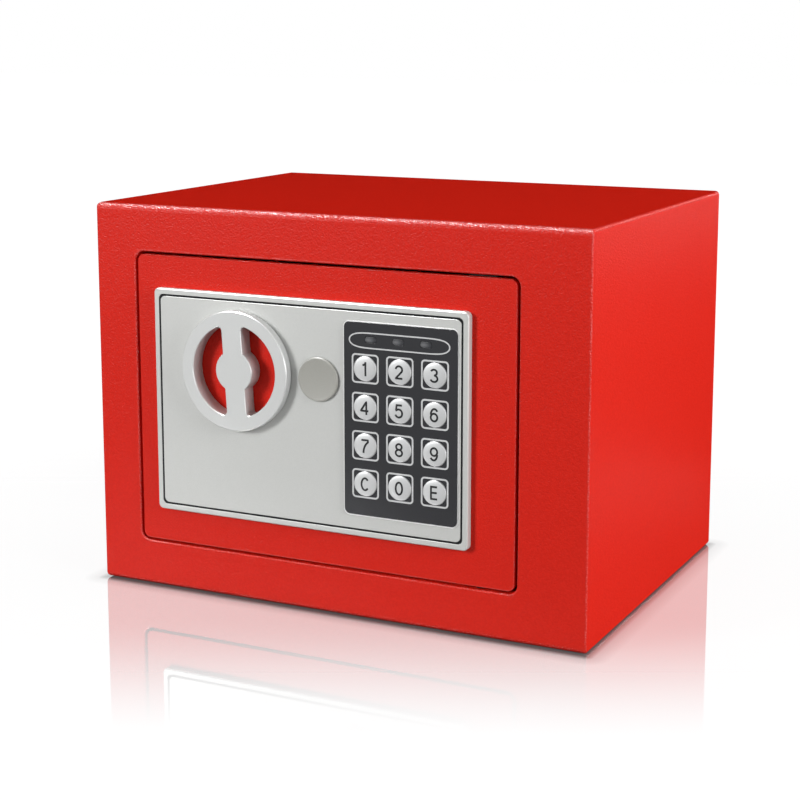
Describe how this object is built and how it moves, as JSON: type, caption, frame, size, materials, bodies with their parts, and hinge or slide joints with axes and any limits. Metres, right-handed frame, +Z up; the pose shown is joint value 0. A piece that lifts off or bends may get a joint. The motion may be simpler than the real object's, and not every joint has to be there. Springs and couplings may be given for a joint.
{
  "type": "home safe",
  "caption": "Small red powder-coated home safe with a silver fascia, round pierced turning knob, number keypad and motor-free bolt work in a hinged door.",
  "frame": {"origin": "middle of the cabinet's underside", "axes": "+X to the right seen from the front, +Y into the safe so the door faces -Y, +Z up"},
  "size_m": [0.23, 0.1772, 0.17],
  "materials": {
    "red_powder_coat": "fine orange-peel red powder coat, satin",
    "silver_plastic": "silver painted ABS, satin",
    "silver_key": "silver painted key cap with a dark numeral",
    "grey_plastic": "warm grey moulded plastic",
    "charcoal_overlay": "charcoal printed keypad overlay, fine satin",
    "black_plastic": "black moulded ABS, fine grain",
    "led_lens": "smoked lens over an unlit lamp",
    "circuit_board": "green solder mask",
    "zinc_steel": "bright zinc plated steel",
    "brass": "turned brass",
    "coil_wrap": "varnished copper winding",
    "cell_jacket": "plain printed cell jacket",
    "red_plastic": "moulded red button",
    "wire_sleeve": "black wire sleeve",
    "felt": "needled charcoal felt"
  },
  "bodies": {
    "cabinet": {"cabinet_shell": "red_powder_coat", "back_panel": "red_powder_coat", "hinge_bracket_upper": "red_powder_coat", "hinge_bracket_lower": "red_powder_coat", "door_stop_upper": "red_powder_coat", "door_stop_lower": "red_powder_coat", "floor_mat": "felt"},
    "door": {"door_plate": "red_powder_coat", "hinge_pin_upper": "zinc_steel", "hinge_pin_lower": "zinc_steel", "fascia_backing": "black_plastic", "fascia_rim": "silver_plastic", "fascia_plate": "silver_plastic", "keypad_overlay": "charcoal_overlay", "keypad_board": "circuit_board", "key_dome_sheet": "zinc_steel", "led_1": "led_lens", "led_2": "led_lens", "led_3": "led_lens", "lock_chassis": "zinc_steel", "solenoid_frame": "zinc_steel", "solenoid_coil": "coil_wrap", "plunger_spring": "zinc_steel", "lock_barrel": "brass", "lock_nut": "zinc_steel", "inner_cover": "black_plastic", "cover_screw_upper": "zinc_steel", "cover_screw_lower": "zinc_steel", "battery_box": "black_plastic", "battery_1": "cell_jacket", "battery_2": "cell_jacket", "battery_3": "cell_jacket", "battery_4": "cell_jacket", "battery_lead": "wire_sleeve"},
    "knob": {"knob": "silver_plastic", "knob_shaft": "zinc_steel", "knob_crank": "zinc_steel"},
    "bolts": {"bolt_carriage": "zinc_steel", "bolt_upper": "zinc_steel", "bolt_lower": "zinc_steel"},
    "plunger": {"plunger": "zinc_steel"},
    "lock_plug": {"lock_plug": "brass", "lock_cam": "zinc_steel"},
    "lock_cap": {"lock_cap": "grey_plastic"},
    "key_1": {"key_1": "silver_key"},
    "key_2": {"key_2": "silver_key"},
    "key_3": {"key_3": "silver_key"},
    "key_4": {"key_4": "silver_key"},
    "key_5": {"key_5": "silver_key"},
    "key_6": {"key_6": "silver_key"},
    "key_7": {"key_7": "silver_key"},
    "key_8": {"key_8": "silver_key"},
    "key_9": {"key_9": "silver_key"},
    "key_clear": {"key_clear": "silver_key"},
    "key_0": {"key_0": "silver_key"},
    "key_enter": {"key_enter": "silver_key"},
    "battery_lid": {"battery_lid": "black_plastic"},
    "reset_button": {"reset_button": "red_plastic"}
  },
  "joints": [
    {"name": "door_hinge", "type": "hinge", "parent": "cabinet", "child": "door", "pos_m": [0.068, -0.0805, 0.085], "axis": [0, 0, 1], "range_deg": [0, 100]},
    {"name": "knob_turn", "type": "hinge", "parent": "door", "child": "knob", "pos_m": [-0.0417, -0.0848, 0.1022], "axis": [0, -1, 0], "range_deg": [0, 60]},
    {"name": "bolt_slide", "type": "slide", "parent": "door", "child": "bolts", "axis": [-1, 0, 0], "range_m": [0, 0.012]},
    {"name": "plunger_slide", "type": "slide", "parent": "door", "child": "plunger", "axis": [0, 0, -1], "range_m": [0, 0.005], "deforming": ["plunger_spring"]},
    {"name": "lock_turn", "type": "hinge", "parent": "door", "child": "lock_plug", "pos_m": [-0.003, -0.077, 0.1017], "axis": [0, 1, 0], "range_deg": [0, 90]},
    {"name": "lock_cap_pull", "type": "slide", "parent": "door", "child": "lock_cap", "axis": [0, -1, 0], "range_m": [0, 0.015]},
    {"name": "key_1_press", "type": "slide", "parent": "door", "child": "key_1", "axis": [0, 1, 0], "range_m": [0, 0.0005], "stiffness_N_per_m": 400},
    {"name": "key_2_press", "type": "slide", "parent": "door", "child": "key_2", "axis": [0, 1, 0], "range_m": [0, 0.0005], "stiffness_N_per_m": 400},
    {"name": "key_3_press", "type": "slide", "parent": "door", "child": "key_3", "axis": [0, 1, 0], "range_m": [0, 0.0005], "stiffness_N_per_m": 400},
    {"name": "key_4_press", "type": "slide", "parent": "door", "child": "key_4", "axis": [0, 1, 0], "range_m": [0, 0.0005], "stiffness_N_per_m": 400},
    {"name": "key_5_press", "type": "slide", "parent": "door", "child": "key_5", "axis": [0, 1, 0], "range_m": [0, 0.0005], "stiffness_N_per_m": 400},
    {"name": "key_6_press", "type": "slide", "parent": "door", "child": "key_6", "axis": [0, 1, 0], "range_m": [0, 0.0005], "stiffness_N_per_m": 400},
    {"name": "key_7_press", "type": "slide", "parent": "door", "child": "key_7", "axis": [0, 1, 0], "range_m": [0, 0.0005], "stiffness_N_per_m": 400},
    {"name": "key_8_press", "type": "slide", "parent": "door", "child": "key_8", "axis": [0, 1, 0], "range_m": [0, 0.0005], "stiffness_N_per_m": 400},
    {"name": "key_9_press", "type": "slide", "parent": "door", "child": "key_9", "axis": [0, 1, 0], "range_m": [0, 0.0005], "stiffness_N_per_m": 400},
    {"name": "key_clear_press", "type": "slide", "parent": "door", "child": "key_clear", "axis": [0, 1, 0], "range_m": [0, 0.0005], "stiffness_N_per_m": 400},
    {"name": "key_0_press", "type": "slide", "parent": "door", "child": "key_0", "axis": [0, 1, 0], "range_m": [0, 0.0005], "stiffness_N_per_m": 400},
    {"name": "key_enter_press", "type": "slide", "parent": "door", "child": "key_enter", "axis": [0, 1, 0], "range_m": [0, 0.0005], "stiffness_N_per_m": 400},
    {"name": "battery_lid_lift", "type": "slide", "parent": "door", "child": "battery_lid", "axis": [0, 1, 0], "range_m": [0, 0.03]},
    {"name": "reset_press", "type": "slide", "parent": "door", "child": "reset_button", "axis": [0, -1, 0], "range_m": [0, 0.002], "stiffness_N_per_m": 300}
  ],
  "couplings": [
    {"joint": "knob_turn", "follows": "bolt_slide", "rad_per_m": 87.266}
  ]
}
